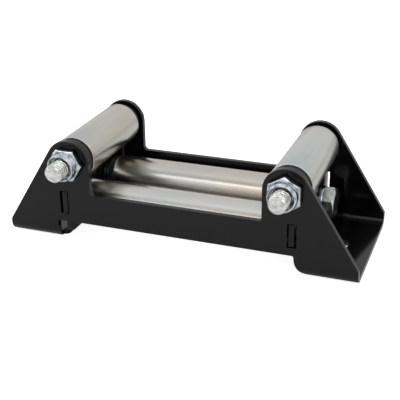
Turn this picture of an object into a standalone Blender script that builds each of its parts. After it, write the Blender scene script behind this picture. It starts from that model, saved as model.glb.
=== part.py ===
"""Four-way roller fairlead for a winch.

A folded steel channel stands with its web down. Two upright ears on each flange carry the short
rollers across the channel, and two cross plates tabbed into the flanges carry the long rollers
along it. Each roller turns on two flanged bushes around a bolt with a lock nut.

Lengths are in metres. X runs along the channel, Y from its near flange to its far one, and Z up
from the mounting face. The origin is the middle of the whole part's footprint.
"""

import math
from dataclasses import dataclass

import bmesh
import bpy
from mathutils import Vector

MM = 0.001

# Folded channel
CHANNEL_LENGTH = 318.0 * MM
CHANNEL_DEPTH = 122.0 * MM
SHEET_THICKNESS = 4.8 * MM
BEND_OUTER_RADIUS = 9.0 * MM
BAR_TOP_HEIGHT = 45.8 * MM
BAR_BOTTOM_HEIGHT = 18.4 * MM
BAR_FILLET = 3.5 * MM
FOOT_FILLET = 1.5 * MM
LEFT_FOOT_LENGTH = 48.2 * MM
RIGHT_FOOT_LENGTH = 54.1 * MM
RIGHT_FOOT_ROUND = 16.5 * MM
WEB_END_LENGTH = 52.6 * MM

# Ears that carry the short rollers
SHORT_AXIS_SETBACK = 61.9 * MM
EAR_RADIUS = 19.75 * MM
EAR_TOE_HEIGHT = 12.6 * MM
LEFT_TOE_ROUND = 5.0 * MM
RIGHT_TOE_ROUND = 1.2 * MM

# Slots in the web for the mounting bolts
MOUNT_SLOT_SETBACK = 32.0 * MM
MOUNT_SLOT_LENGTH = 24.0 * MM
MOUNT_SLOT_WIDTH = 17.5 * MM

# Cross plates that carry the long rollers
PLATE_SETBACK = 58.8 * MM
PLATE_THICKNESS = 4.8 * MM
PLATE_BOTTOM_HEIGHT = 5.5 * MM
PLATE_ABOVE_ROLLERS = 0.75 * MM
PLATE_CORNER_ROUND = 5.0 * MM
PLATE_RELIEF_WIDTH = 24.0 * MM
PLATE_RELIEF_HEIGHT = 12.0 * MM
TAB_HEIGHT = 20.0 * MM
TAB_CENTRE_HEIGHT = 36.25 * MM
TAB_RECESS = 0.4 * MM
TAB_SLOT_END_CLEARANCE = 0.75 * MM
TAB_SLOT_INNER_CLEARANCE = 1.2 * MM
TAB_SLOT_OUTER_CLEARANCE = 2.2 * MM
TAB_SLOT_CORNER = 0.8 * MM

# Rollers
LONG_AXIS_SPACING = 61.7 * MM
LONG_AXIS_HEIGHT = 28.2 * MM
ROLLER_CROSSING_GAP = 8.0 * MM
ROLLER_DIAMETER = 38.1 * MM
ROLLER_WALL = 3.2 * MM
ROLLER_CHAMFER = 0.8 * MM
ROLLER_END_GAP = 8.5 * MM
BUSH_FLANGE_DIAMETER = 34.6 * MM
BUSH_PRESSED_LENGTH = 16.0 * MM
BUSH_CHAMFER = 0.7 * MM
THRUST_WASHER_DIAMETER = 30.0 * MM
THRUST_WASHER_THICKNESS = 2.2 * MM

# Bolts, nuts and washers
BOLT_DIAMETER = 16.0 * MM
BOLT_HEAD_HEIGHT = 10.0 * MM
BOLT_END_CHAMFER = 1.1 * MM
HEX_ACROSS_FLATS = 27.0 * MM
HEX_FACE_DIAMETER = 25.9 * MM
HEX_CHAMFER = math.radians(30.0)
NUT_HEIGHT = 14.5 * MM
NUT_HEX_HEIGHT = 7.3 * MM
NUT_COLLAR_DIAMETER = 25.2 * MM
NUT_SHOULDER_HEIGHT = 11.2 * MM
NUT_LIP_DIAMETER = 21.6 * MM
FLAT_WASHER_DIAMETER = 30.0 * MM
FLAT_WASHER_THICKNESS = 4.0 * MM
SHORT_BOLT_PAST_NUT = 12.5 * MM
LONG_BOLT_PAST_NUT = 7.0 * MM

# How far the hexagons happened to be turned when they were tightened
LEFT_SHORT_NUT_TURN = math.radians(-1.0)
RIGHT_SHORT_NUT_TURN = math.radians(30.0)
LONG_NUT_TURN = math.radians(20.0)
SHORT_HEAD_TURN = math.radians(10.0)
NEAR_LONG_HEAD_TURN = math.radians(40.0)
FAR_LONG_HEAD_TURN = math.radians(15.0)

# Fits
SEAT_GAP = 0.3 * MM
RUNNING_CLEARANCE = 0.35 * MM
HOLE_CLEARANCE = 0.4 * MM

# Fineness of the curved faces
ROLLER_SIDES = 48
RING_SIDES = 24
ARC_STEP = math.radians(11.25)
SHARP_ANGLE = math.radians(24.0)
CUTTER_SPARE = 6.0 * MM

HALF_LENGTH = CHANNEL_LENGTH / 2
HALF_DEPTH = CHANNEL_DEPTH / 2
FLANGE_INSIDE = HALF_DEPTH - SHEET_THICKNESS
BEND_LINE = HALF_DEPTH - BEND_OUTER_RADIUS
WEB_END = HALF_LENGTH - WEB_END_LENGTH
LEFT_FOOT_EDGE = LEFT_FOOT_LENGTH - HALF_LENGTH
RIGHT_FOOT_EDGE = HALF_LENGTH - RIGHT_FOOT_LENGTH
SHORT_AXIS_X = HALF_LENGTH - SHORT_AXIS_SETBACK
SHORT_AXIS_HEIGHT = LONG_AXIS_HEIGHT + ROLLER_DIAMETER + ROLLER_CROSSING_GAP
LONG_AXIS_Y = LONG_AXIS_SPACING / 2
PLATE_INSIDE = HALF_LENGTH - PLATE_SETBACK
PLATE_TOP_HEIGHT = LONG_AXIS_HEIGHT + ROLLER_DIAMETER / 2 + PLATE_ABOVE_ROLLERS
HEX_CORNER_RADIUS = HEX_ACROSS_FLATS / math.sqrt(3)
BOLT_RADIUS = BOLT_DIAMETER / 2
HOLE_RADIUS = BOLT_RADIUS + HOLE_CLEARANCE
NEAR_REACH = HALF_DEPTH + SEAT_GAP + NUT_HEIGHT + SHORT_BOLT_PAST_NUT
FAR_REACH = HALF_DEPTH + SEAT_GAP + BOLT_HEAD_HEIGHT
CENTRE_SHIFT = (NEAR_REACH - FAR_REACH) / 2


@dataclass(frozen=True)
class Station:
    """One roller on its bolt. Its local +Z runs along the bolt towards the nut."""

    name: str
    nut_side: str
    head_side: str
    location: tuple[float, float, float]
    rotation: tuple[float, float, float]
    carrier_inside: float
    carrier_thickness: float
    flat_washers: bool
    bolt_past_nut: float
    nut_turn: float
    head_turn: float


ALONG_CHANNEL = (0.0, -math.pi / 2, 0.0)
ACROSS_CHANNEL = (math.pi / 2, 0.0, 0.0)


def stations() -> list[Station]:
    """The four rollers: two long ones along the channel and two short ones across it."""
    found = []
    long_rollers = (("near_long", -1, NEAR_LONG_HEAD_TURN), ("far_long", 1, FAR_LONG_HEAD_TURN))
    for name, side, head_turn in long_rollers:
        found.append(
            Station(
                name,
                "left",
                "right",
                (0.0, side * LONG_AXIS_Y, LONG_AXIS_HEIGHT),
                ALONG_CHANNEL,
                PLATE_INSIDE,
                PLATE_THICKNESS,
                True,
                LONG_BOLT_PAST_NUT,
                LONG_NUT_TURN,
                head_turn,
            )
        )
    short_rollers = (
        ("left_short", -1, LEFT_SHORT_NUT_TURN),
        ("right_short", 1, RIGHT_SHORT_NUT_TURN),
    )
    for name, side, nut_turn in short_rollers:
        found.append(
            Station(
                name,
                "near",
                "far",
                (side * SHORT_AXIS_X, 0.0, SHORT_AXIS_HEIGHT),
                ACROSS_CHANNEL,
                FLANGE_INSIDE,
                SHEET_THICKNESS,
                False,
                SHORT_BOLT_PAST_NUT,
                nut_turn,
                SHORT_HEAD_TURN,
            )
        )
    return found


def clear_scene() -> None:
    """Remove every object of the scene."""
    for obj in list(bpy.data.objects):
        bpy.data.objects.remove(obj, do_unlink=True)


def make_material(name, colour, metallic, roughness):
    """A Principled material with one colour."""
    material = bpy.data.materials.new(name)
    material.use_nodes = True
    shader = material.node_tree.nodes["Principled BSDF"]
    shader.inputs["Base Color"].default_value = (*colour, 1.0)
    shader.inputs["Metallic"].default_value = metallic
    shader.inputs["Roughness"].default_value = roughness
    material.diffuse_color = (*colour, 1.0)
    return material


def add_object(name, mesh, material, parent=None):
    """Link an object for this mesh, under its parent."""
    obj = bpy.data.objects.new(name, mesh)
    bpy.context.scene.collection.objects.link(obj)
    obj.parent = parent
    if material is not None and not mesh.materials:
        mesh.materials.append(material)
    return obj


def add_empty(name, location=(0.0, 0.0, 0.0), rotation=(0.0, 0.0, 0.0), parent=None):
    """An empty that pieces hang from."""
    empty = bpy.data.objects.new(name, None)
    bpy.context.scene.collection.objects.link(empty)
    empty.location = location
    empty.rotation_euler = rotation
    empty.parent = parent
    return empty


def finished_mesh(name, bm):
    """Turn a bmesh into a mesh with its faces pointing out."""
    bmesh.ops.recalc_face_normals(bm, faces=bm.faces)
    mesh = bpy.data.meshes.new(name)
    bm.to_mesh(mesh)
    bm.free()
    return mesh


def smooth(mesh) -> None:
    """Shade round faces smooth and keep the real edges sharp."""
    mesh.shade_smooth()
    mesh.set_sharp_from_angle(angle=SHARP_ANGLE)


def arc(centre, radius, start, end):
    """Points on an arc, both ends included."""
    steps = max(2, round(abs(end - start) / ARC_STEP))
    angles = (start + (end - start) * i / steps for i in range(steps + 1))
    return [(centre[0] + radius * math.cos(a), centre[1] + radius * math.sin(a)) for a in angles]


def rounded_outline(corners):
    """An outline from (a, b, radius) corners, each rounded by its radius."""
    points = []
    for i, (a, b, radius) in enumerate(corners):
        corner = Vector((a, b))
        if radius <= 0:
            points.append((a, b))
            continue
        back = (Vector(corners[i - 1][:2]) - corner).normalized()
        ahead = (Vector(corners[(i + 1) % len(corners)][:2]) - corner).normalized()
        half = back.angle(ahead) / 2
        centre = corner + (back + ahead).normalized() * radius / math.sin(half)
        tangent = radius / math.tan(half)
        first = corner + back * tangent - centre
        last = corner + ahead * tangent - centre
        start = math.atan2(first.y, first.x)
        turn = (math.atan2(last.y, last.x) - start + math.pi) % (2 * math.pi) - math.pi
        points += arc(centre, radius, start, start + turn)
    return points


def circle(radius, sides):
    """A regular polygon's corners."""
    return [
        (radius * math.cos(2 * math.pi * i / sides), radius * math.sin(2 * math.pi * i / sides))
        for i in range(sides)
    ]


def extruded(name, outline, low, high, axis="Z"):
    """A mesh of an outline pushed along one axis, from low to high."""
    places = {
        "X": lambda a, b, h: (h, a, b),
        "Y": lambda a, b, h: (a, h, b),
        "Z": lambda a, b, h: (a, b, h),
    }
    place = places[axis]
    bm = bmesh.new()
    face = bm.faces.new([bm.verts.new(place(a, b, low)) for a, b in outline])
    made = bmesh.ops.extrude_face_region(bm, geom=[face])
    moved = [item for item in made["geom"] if isinstance(item, bmesh.types.BMVert)]
    bmesh.ops.translate(bm, verts=moved, vec=Vector(place(0.0, 0.0, high - low)))
    return finished_mesh(name, bm)


def turned(name, profile, sides, ring=True):
    """A mesh of (radius, height) points spun round Z. A ring's profile closes on itself."""
    bm = bmesh.new()
    points = [bm.verts.new((radius, 0.0, height)) for radius, height in profile]
    edges = [bm.edges.new(pair) for pair in zip(points, points[1:])]
    if ring:
        edges.append(bm.edges.new((points[-1], points[0])))
    bmesh.ops.spin(
        bm,
        geom=points + edges,
        cent=(0.0, 0.0, 0.0),
        axis=(0.0, 0.0, 1.0),
        angle=2 * math.pi,
        steps=sides,
        use_merge=True,
    )
    bmesh.ops.remove_doubles(bm, verts=bm.verts, dist=1e-6)
    mesh = finished_mesh(name, bm)
    smooth(mesh)
    return mesh


def tube_profile(inner, outer, low, high, chamfer=0.0):
    """A ring's section, with its outer edges chamfered."""
    if chamfer <= 0:
        return [(inner, low), (outer, low), (outer, high), (inner, high)]
    return [
        (inner, low),
        (outer - chamfer, low),
        (outer, low + chamfer),
        (outer, high - chamfer),
        (outer - chamfer, high),
        (inner, high),
    ]


def combine(obj, mesh, operation) -> None:
    """Add a Boolean with this mesh, on a hidden helper that shares the object's parent."""
    helper = add_object(f"{obj.name}_{mesh.name}", mesh, None, obj.parent)
    helper.hide_render = True
    helper.display_type = "WIRE"
    modifier = obj.modifiers.new(mesh.name, "BOOLEAN")
    modifier.operation = operation
    modifier.solver = "EXACT"
    modifier.object = helper


def baked(mesh, steps, material):
    """The mesh that these Boolean steps make, so that several objects can share it."""
    obj = add_object(mesh.name, mesh, material)
    for other, operation in steps:
        combine(obj, other, operation)
    graph = bpy.context.evaluated_depsgraph_get()
    result = bpy.data.meshes.new_from_object(obj.evaluated_get(graph))
    result.name = f"{mesh.name}_shape"
    helpers = [modifier.object for modifier in obj.modifiers]
    for helper in [obj, *helpers]:
        bpy.data.objects.remove(helper, do_unlink=True)
    smooth(result)
    return result


def ear_apex():
    """Where the ear's inner edge and its slope would meet if the ear weren't rounded.

    Returns:
        The distance from the channel's middle and the height.
    """
    toe = Vector((HALF_LENGTH, EAR_TOE_HEIGHT))
    centre = Vector((SHORT_AXIS_X, SHORT_AXIS_HEIGHT))
    towards = toe - centre
    angle = math.atan2(towards.y, towards.x) + math.acos(EAR_RADIUS / towards.length)
    touch = centre + EAR_RADIUS * Vector((math.cos(angle), math.sin(angle)))
    inner_edge = SHORT_AXIS_X - EAR_RADIUS
    slope = (touch.y - toe.y) / (touch.x - toe.x)
    return inner_edge, toe.y + slope * (inner_edge - toe.x)


def channel_section():
    """The folded sheet's section across the channel, well above its ears."""
    top = SHORT_AXIS_HEIGHT + EAR_RADIUS + CUTTER_SPARE
    inner_radius = BEND_OUTER_RADIUS - SHEET_THICKNESS
    return rounded_outline(
        [
            (-HALF_DEPTH, 0.0, BEND_OUTER_RADIUS),
            (HALF_DEPTH, 0.0, BEND_OUTER_RADIUS),
            (HALF_DEPTH, top, 0.0),
            (FLANGE_INSIDE, top, 0.0),
            (FLANGE_INSIDE, SHEET_THICKNESS, inner_radius),
            (-FLANGE_INSIDE, SHEET_THICKNESS, inner_radius),
            (-FLANGE_INSIDE, top, 0.0),
            (-HALF_DEPTH, top, 0.0),
        ]
    )


def flange_outline():
    """The side view of the channel: two ears with sloping backs, joined by a bar."""
    inner_edge, apex_height = ear_apex()
    return rounded_outline(
        [
            (-HALF_LENGTH, -CUTTER_SPARE, 0.0),
            (HALF_LENGTH, -CUTTER_SPARE, 0.0),
            (HALF_LENGTH, EAR_TOE_HEIGHT, RIGHT_TOE_ROUND),
            (inner_edge, apex_height, EAR_RADIUS),
            (inner_edge, BAR_TOP_HEIGHT, BAR_FILLET),
            (-inner_edge, BAR_TOP_HEIGHT, BAR_FILLET),
            (-inner_edge, apex_height, EAR_RADIUS),
            (-HALF_LENGTH, EAR_TOE_HEIGHT, LEFT_TOE_ROUND),
        ]
    )


def foot_gap_outline():
    """What is cut from each flange below its bar: a square foot at the left, a round one at the right."""
    round_centre = (RIGHT_FOOT_EDGE + RIGHT_FOOT_ROUND, RIGHT_FOOT_ROUND)
    return [
        (LEFT_FOOT_EDGE, -CUTTER_SPARE),
        (round_centre[0], -CUTTER_SPARE),
        *arc(round_centre, RIGHT_FOOT_ROUND, -math.pi / 2, -math.pi),
        *arc(
            (RIGHT_FOOT_EDGE - FOOT_FILLET, BAR_BOTTOM_HEIGHT - FOOT_FILLET),
            FOOT_FILLET,
            0.0,
            math.pi / 2,
        ),
        *arc(
            (LEFT_FOOT_EDGE + FOOT_FILLET, BAR_BOTTOM_HEIGHT - FOOT_FILLET),
            FOOT_FILLET,
            math.pi / 2,
            math.pi,
        ),
    ]


def box_outline(a_low, b_low, a_high, b_high, radius=0.0):
    """A rectangle with rounded corners."""
    corners = ((a_low, b_low), (a_high, b_low), (a_high, b_high), (a_low, b_high))
    return rounded_outline([(a, b, radius) for a, b in corners])


def moved(outline, a, b=0.0):
    """An outline shifted in its own plane."""
    return [(x + a, y + b) for x, y in outline]


def add_channel(parent, material):
    """The folded channel, cut from a bent sheet by its side view and its openings."""
    spare = CUTTER_SPARE
    reach = HALF_DEPTH + spare
    section = extruded(
        "channel_frame", channel_section(), -HALF_LENGTH - spare, HALF_LENGTH + spare, "X"
    )
    channel = add_object("channel_frame", section, material, parent)
    combine(channel, extruded("side_view", flange_outline(), -reach, reach, "Y"), "INTERSECT")

    for side, low, high in (("near", -reach, -BEND_LINE), ("far", BEND_LINE, reach)):
        gap = extruded(f"{side}_foot_gap", foot_gap_outline(), low, high, "Y")
        combine(channel, gap, "DIFFERENCE")
    overlap = SEAT_GAP
    opening = box_outline(-WEB_END, -BEND_LINE - overlap, WEB_END, BEND_LINE + overlap)
    web_top = SHEET_THICKNESS + spare
    combine(channel, extruded("web_opening", opening, -spare, web_top), "DIFFERENCE")

    slot_ends = (MOUNT_SLOT_LENGTH - MOUNT_SLOT_WIDTH) / 2
    slot_radius = MOUNT_SLOT_WIDTH / 2
    slot = arc((slot_ends, 0.0), slot_radius, -math.pi / 2, math.pi / 2)
    slot += arc((-slot_ends, 0.0), slot_radius, math.pi / 2, 3 * math.pi / 2)
    tab_low = TAB_CENTRE_HEIGHT - TAB_HEIGHT / 2 - TAB_SLOT_END_CLEARANCE
    tab_high = TAB_CENTRE_HEIGHT + TAB_HEIGHT / 2 + TAB_SLOT_END_CLEARANCE
    tab_inner = PLATE_INSIDE - TAB_SLOT_INNER_CLEARANCE
    tab_outer = PLATE_INSIDE + PLATE_THICKNESS + TAB_SLOT_OUTER_CLEARANCE
    for end, side in (("left", -1), ("right", 1)):
        place = moved(slot, side * (HALF_LENGTH - MOUNT_SLOT_SETBACK))
        combine(channel, extruded(f"{end}_mount_slot", place, -spare, web_top), "DIFFERENCE")
        low, high = sorted((side * tab_inner, side * tab_outer))
        tab_slot = box_outline(low, tab_low, high, tab_high, TAB_SLOT_CORNER)
        combine(channel, extruded(f"{end}_tab_slot", tab_slot, -reach, reach, "Y"), "DIFFERENCE")
        hole = moved(circle(HOLE_RADIUS, RING_SIDES), side * SHORT_AXIS_X, SHORT_AXIS_HEIGHT)
        combine(channel, extruded(f"{end}_bolt_hole", hole, -reach, reach, "Y"), "DIFFERENCE")
    return channel


def add_cross_plates(parent, material) -> None:
    """Two equal plates, turned half round from each other, with a tab in each flange's slot.

    One lower corner is rounded and the other is cut off, clear of the mounting bolt.
    """
    side = FLANGE_INSIDE - SEAT_GAP
    tab = HALF_DEPTH - TAB_RECESS
    tab_low = TAB_CENTRE_HEIGHT - TAB_HEIGHT / 2
    tab_high = TAB_CENTRE_HEIGHT + TAB_HEIGHT / 2
    outline = rounded_outline(
        [
            (-side, PLATE_BOTTOM_HEIGHT, PLATE_CORNER_ROUND),
            (side - PLATE_RELIEF_WIDTH, PLATE_BOTTOM_HEIGHT, PLATE_CORNER_ROUND),
            (side, PLATE_BOTTOM_HEIGHT + PLATE_RELIEF_HEIGHT, 0.0),
            (side, tab_low, 0.0),
            (tab, tab_low, 0.0),
            (tab, tab_high, 0.0),
            (side, tab_high, 0.0),
            (side, PLATE_TOP_HEIGHT, 0.0),
            (-side, PLATE_TOP_HEIGHT, 0.0),
            (-side, tab_high, 0.0),
            (-tab, tab_high, 0.0),
            (-tab, tab_low, 0.0),
            (-side, tab_low, 0.0),
        ]
    )
    low = -PLATE_INSIDE - PLATE_THICKNESS
    blank = extruded("cross_plate", outline, low, -PLATE_INSIDE, "X")
    holes = []
    for name, y in (("near_hole", -LONG_AXIS_Y), ("far_hole", LONG_AXIS_Y)):
        hole = moved(circle(HOLE_RADIUS, RING_SIDES), y, LONG_AXIS_HEIGHT)
        spare = CUTTER_SPARE
        holes.append((extruded(name, hole, low - spare, spare - PLATE_INSIDE, "X"), "DIFFERENCE"))
    shape = baked(blank, holes, material)
    add_object("left_cross_plate", shape, material, parent)
    add_object("right_cross_plate", shape, material, parent).rotation_euler.z = math.pi


def hexagon():
    """The outline of a hexagon with a corner on its first axis."""
    return circle(HEX_CORNER_RADIUS, 6)


def corner_trim(low, high, low_chamfered):
    """A turned body that trims the corners of a hexagon between two heights."""
    corner = HEX_CORNER_RADIUS
    face = HEX_FACE_DIAMETER / 2
    drop = (corner - face) * math.tan(HEX_CHAMFER)
    spare = CUTTER_SPARE
    bottom = [(0.0, low - spare), (corner + spare, low - spare)]
    if low_chamfered:
        bottom = [(0.0, low), (face, low), (corner, low + drop)]
    return bottom + [(corner, high - drop), (face, high), (0.0, high)]


def nut_shape(material):
    """A hexagon nut with a rounded collar that holds its locking ring."""
    collar = NUT_COLLAR_DIAMETER / 2
    lip = NUT_LIP_DIAMETER / 2
    collar_low = NUT_HEX_HEIGHT / 2
    shoulder = NUT_SHOULDER_HEIGHT
    collar_profile = [(0.0, collar_low), (collar, collar_low), (collar, shoulder)]
    collar_round = arc((lip, shoulder), 1.0, 0.0, math.pi / 2)
    for x, y in collar_round[1:]:
        across = lip + (x - lip) * (collar - lip)
        up = shoulder + (y - shoulder) * (NUT_HEIGHT - shoulder)
        collar_profile.append((across, up))
    collar_profile.append((0.0, NUT_HEIGHT))
    bore = BOLT_RADIUS + SEAT_GAP
    spare = CUTTER_SPARE
    trim = corner_trim(0.0, NUT_HEX_HEIGHT, True)
    steps = [
        (turned("nut_trim", trim, RING_SIDES, ring=False), "INTERSECT"),
        (turned("nut_collar", collar_profile, RING_SIDES, ring=False), "UNION"),
        (extruded("nut_bore", circle(bore, RING_SIDES), -spare, NUT_HEIGHT + spare), "DIFFERENCE"),
    ]
    return baked(extruded("lock_nut", hexagon(), 0.0, NUT_HEX_HEIGHT), steps, material)


def bolt_shape(name, length, material):
    """A hexagon bolt. The head is below local zero and the shank runs up to its chamfered end."""
    head = extruded(name, hexagon(), -BOLT_HEAD_HEIGHT, 0.0)
    trim = [(r, -h) for r, h in corner_trim(0.0, BOLT_HEAD_HEIGHT, False)]
    shank = [
        (0.0, -BOLT_HEAD_HEIGHT / 2),
        (BOLT_RADIUS, -BOLT_HEAD_HEIGHT / 2),
        (BOLT_RADIUS, length - BOLT_END_CHAMFER),
        (BOLT_RADIUS - BOLT_END_CHAMFER, length),
        (0.0, length),
    ]
    steps = [
        (turned(f"{name}_trim", trim, RING_SIDES, ring=False), "INTERSECT"),
        (turned(f"{name}_shank", shank, RING_SIDES, ring=False), "UNION"),
    ]
    return baked(head, steps, material)


def bush_shape(name, material):
    """A flanged bush. Its local zero is the roller's end and the flange stands above it."""
    flange_top = ROLLER_END_GAP - THRUST_WASHER_THICKNESS - 2 * SEAT_GAP
    bore = BOLT_RADIUS + RUNNING_CLEARANCE
    body = ROLLER_DIAMETER / 2 - ROLLER_WALL - SEAT_GAP
    flange = BUSH_FLANGE_DIAMETER / 2
    profile = [
        (bore, -BUSH_PRESSED_LENGTH),
        (body, -BUSH_PRESSED_LENGTH),
        (body, SEAT_GAP),
        (flange, SEAT_GAP),
        (flange, flange_top - BUSH_CHAMFER),
        (flange - BUSH_CHAMFER, flange_top),
        (bore, flange_top),
    ]
    mesh = turned(name, profile, RING_SIDES)
    mesh.materials.append(material)
    return mesh


def washer_shape(name, diameter, thickness, material):
    """A flat ring that stands on local zero."""
    profile = tube_profile(HOLE_RADIUS, diameter / 2, 0.0, thickness)
    mesh = turned(name, profile, RING_SIDES)
    mesh.materials.append(material)
    return mesh


def add_at(name, mesh, material, parent, height, flipped=False, turn=0.0):
    """Place a piece along a station's axis, upside down if flipped."""
    obj = add_object(name, mesh, material, parent)
    obj.location.z = height
    obj.rotation_euler = (math.pi if flipped else 0.0, 0.0, turn)
    return obj


def add_station(station, parent, shapes, materials) -> None:
    """One roller with its bushes, washers, bolt and nut, stacked outward from its middle."""
    name = station.name
    centre = add_empty(f"{name}_axis", station.location, station.rotation, parent)
    roller_half = station.carrier_inside - ROLLER_END_GAP
    outer_radius = ROLLER_DIAMETER / 2
    wall_inside = outer_radius - ROLLER_WALL
    profile = tube_profile(wall_inside, outer_radius, -roller_half, roller_half, ROLLER_CHAMFER)
    tube = turned(f"{name}_tube", profile, ROLLER_SIDES)
    add_object(f"{name}_roller", tube, materials["roller"], centre)

    thrust_low = station.carrier_inside - SEAT_GAP - THRUST_WASHER_THICKNESS
    seat = station.carrier_inside + station.carrier_thickness + SEAT_GAP
    for side, flipped in ((station.nut_side, False), (station.head_side, True)):
        sign = -1 if flipped else 1
        bush_name = f"{name}_bush_{side}"
        add_at(bush_name, shapes["bush"], materials["nylon"], centre, sign * roller_half, flipped)
        thrust_name = f"{name}_thrust_washer_{side}"
        height = sign * thrust_low
        add_at(thrust_name, shapes["thrust"], materials["fastener"], centre, height, flipped)
        if station.flat_washers:
            washer_name = f"{name}_flat_washer_{side}"
            height = sign * seat
            add_at(washer_name, shapes["washer"], materials["fastener"], centre, height, flipped)
    if station.flat_washers:
        seat += FLAT_WASHER_THICKNESS + SEAT_GAP
    nut_turn = station.nut_turn
    add_at(f"{name}_nut", shapes["nut"], materials["fastener"], centre, seat, turn=nut_turn)
    bolt_length = 2 * seat + NUT_HEIGHT + station.bolt_past_nut
    bolt = bolt_shape(f"{name}_bolt_blank", bolt_length, materials["fastener"])
    add_at(f"{name}_bolt", bolt, materials["fastener"], centre, -seat, turn=station.head_turn)


def main() -> None:
    """Build the whole fairlead."""
    clear_scene()
    materials = {
        "paint": make_material("gloss_black_paint", (0.008, 0.008, 0.009), 0.0, 0.12),
        "roller": make_material("roller_zinc", (0.50, 0.50, 0.46), 1.0, 0.32),
        "fastener": make_material("fastener_zinc", (0.58, 0.62, 0.66), 1.0, 0.22),
        "nylon": make_material("black_nylon", (0.02, 0.02, 0.02), 0.0, 0.45),
    }
    fairlead = add_empty("fairlead", (0.0, CENTRE_SHIFT, 0.0))
    add_channel(fairlead, materials["paint"])
    add_cross_plates(fairlead, materials["paint"])
    fastener = materials["fastener"]
    shapes = {
        "nut": nut_shape(fastener),
        "bush": bush_shape("flanged_bush", materials["nylon"]),
        "thrust": washer_shape(
            "thrust_washer", THRUST_WASHER_DIAMETER, THRUST_WASHER_THICKNESS, fastener
        ),
        "washer": washer_shape(
            "flat_washer", FLAT_WASHER_DIAMETER, FLAT_WASHER_THICKNESS, fastener
        ),
    }
    for station in stations():
        add_station(station, fairlead, shapes, materials)


main()
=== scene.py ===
"""Looks of a four-way winch roller fairlead in a white studio.

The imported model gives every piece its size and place. This script gives the pieces their real
surfaces: gloss black enamel on folded sheet with softened edges, turned and zinc-plated rollers,
bright zinc nuts and threaded bolts, and dark nylon bushes. Lengths are in metres.
"""

from __future__ import annotations

import logging
import math
from collections.abc import Callable, Sequence
from dataclasses import dataclass, field
from enum import Enum
from typing import Protocol

import bmesh
import bpy
from mathutils import Euler, Matrix, Vector

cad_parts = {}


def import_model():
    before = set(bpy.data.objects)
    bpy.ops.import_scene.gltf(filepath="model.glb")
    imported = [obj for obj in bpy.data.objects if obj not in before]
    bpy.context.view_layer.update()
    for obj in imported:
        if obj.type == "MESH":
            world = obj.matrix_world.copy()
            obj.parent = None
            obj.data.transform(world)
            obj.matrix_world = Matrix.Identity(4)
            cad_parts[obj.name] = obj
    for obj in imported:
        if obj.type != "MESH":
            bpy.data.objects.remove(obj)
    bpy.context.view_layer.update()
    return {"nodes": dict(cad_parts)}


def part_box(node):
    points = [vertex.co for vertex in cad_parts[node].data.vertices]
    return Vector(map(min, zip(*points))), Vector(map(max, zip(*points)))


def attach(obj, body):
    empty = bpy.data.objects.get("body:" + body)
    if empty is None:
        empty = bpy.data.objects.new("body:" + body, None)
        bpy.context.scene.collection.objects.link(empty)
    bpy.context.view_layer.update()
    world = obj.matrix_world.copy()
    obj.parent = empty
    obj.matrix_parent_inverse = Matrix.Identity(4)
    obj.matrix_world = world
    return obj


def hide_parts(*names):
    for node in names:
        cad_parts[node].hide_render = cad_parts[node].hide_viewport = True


log = logging.getLogger("fairlead")

MM = 0.001
MICRON_PLACES = 6
CARRIER = "carrier"

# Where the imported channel's web ends and where its bends begin, and how far its corners are rounded
WEB_END = 106.4 * MM
NEAR_BEND_LINE = -43.8 * MM
FAR_BEND_LINE = 60.8 * MM
LEFT_WEB_ROUND = 4.2 * MM
RIGHT_WEB_ROUND = 9.0 * MM

Colour = tuple[float, float, float, float]


class Slot(Enum):
    """The record's material slots."""

    PAINT = "paint"
    ROLLER = "roller_zinc"
    FASTENER = "fastener_zinc"
    NYLON = "nylon"


class Direction(Enum):
    """How a station's own +Z, which points at its nut, is turned into place."""

    ALONG_CHANNEL = (0.0, -math.pi / 2, 0.0)
    ACROSS_CHANNEL = (math.pi / 2, 0.0, 0.0)


def linear(colour: str) -> Colour:
    """Turn an sRGB hex colour into linear light.

    Args:
        colour: The colour as #rrggbb.

    Returns:
        Red, green, blue and an alpha of 1.
    """
    values = [int(colour[i : i + 2], 16) / 255 for i in (1, 3, 5)]
    parts = [v / 12.92 if v <= 0.04045 else ((v + 0.055) / 1.055) ** 2.4 for v in values]
    return (parts[0], parts[1], parts[2], 1.0)


def add_node(
    tree: bpy.types.NodeTree,
    kind: str,
    settings: dict[str | int, object] | None = None,
    links: dict[str | int, bpy.types.NodeSocket] | None = None,
) -> bpy.types.Node:
    """Add a node with its settings and links.

    Args:
        tree: The node tree that gets it.
        kind: The node's type name.
        settings: Properties by name, and unlinked inputs by name or number.
        links: The output that feeds each input.

    Returns:
        The new node.
    """
    node = tree.nodes.new(kind)
    for key, value in (settings or {}).items():
        if isinstance(key, str) and hasattr(node, key):
            setattr(node, key, value)
        else:
            node.inputs[key].default_value = value
    for key, output in (links or {}).items():
        tree.links.new(output, node.inputs[key])
    return node


def new_material(name: str) -> tuple[bpy.types.Material, bpy.types.NodeTree, bpy.types.Node]:
    """Start a material with one Principled shader.

    Args:
        name: The material's name.

    Returns:
        The material, its node tree and its shader.
    """
    material = bpy.data.materials.new(name)
    material.use_nodes = True
    tree = material.node_tree
    return material, tree, tree.nodes["Principled BSDF"]


def fill_ramp(ramp: bpy.types.ColorRamp, stops: Sequence[tuple[float, Colour]]) -> None:
    """Set a colour ramp's stops.

    Args:
        ramp: A new ramp, with its two first stops.
        stops: At least two places from 0 to 1, in rising order, with their colours.
    """
    for element, (position, colour) in zip(ramp.elements, (stops[0], stops[-1])):
        element.position = position
        element.color = colour
    for position, colour in stops[1:-1]:
        ramp.elements.new(position).color = colour


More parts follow.
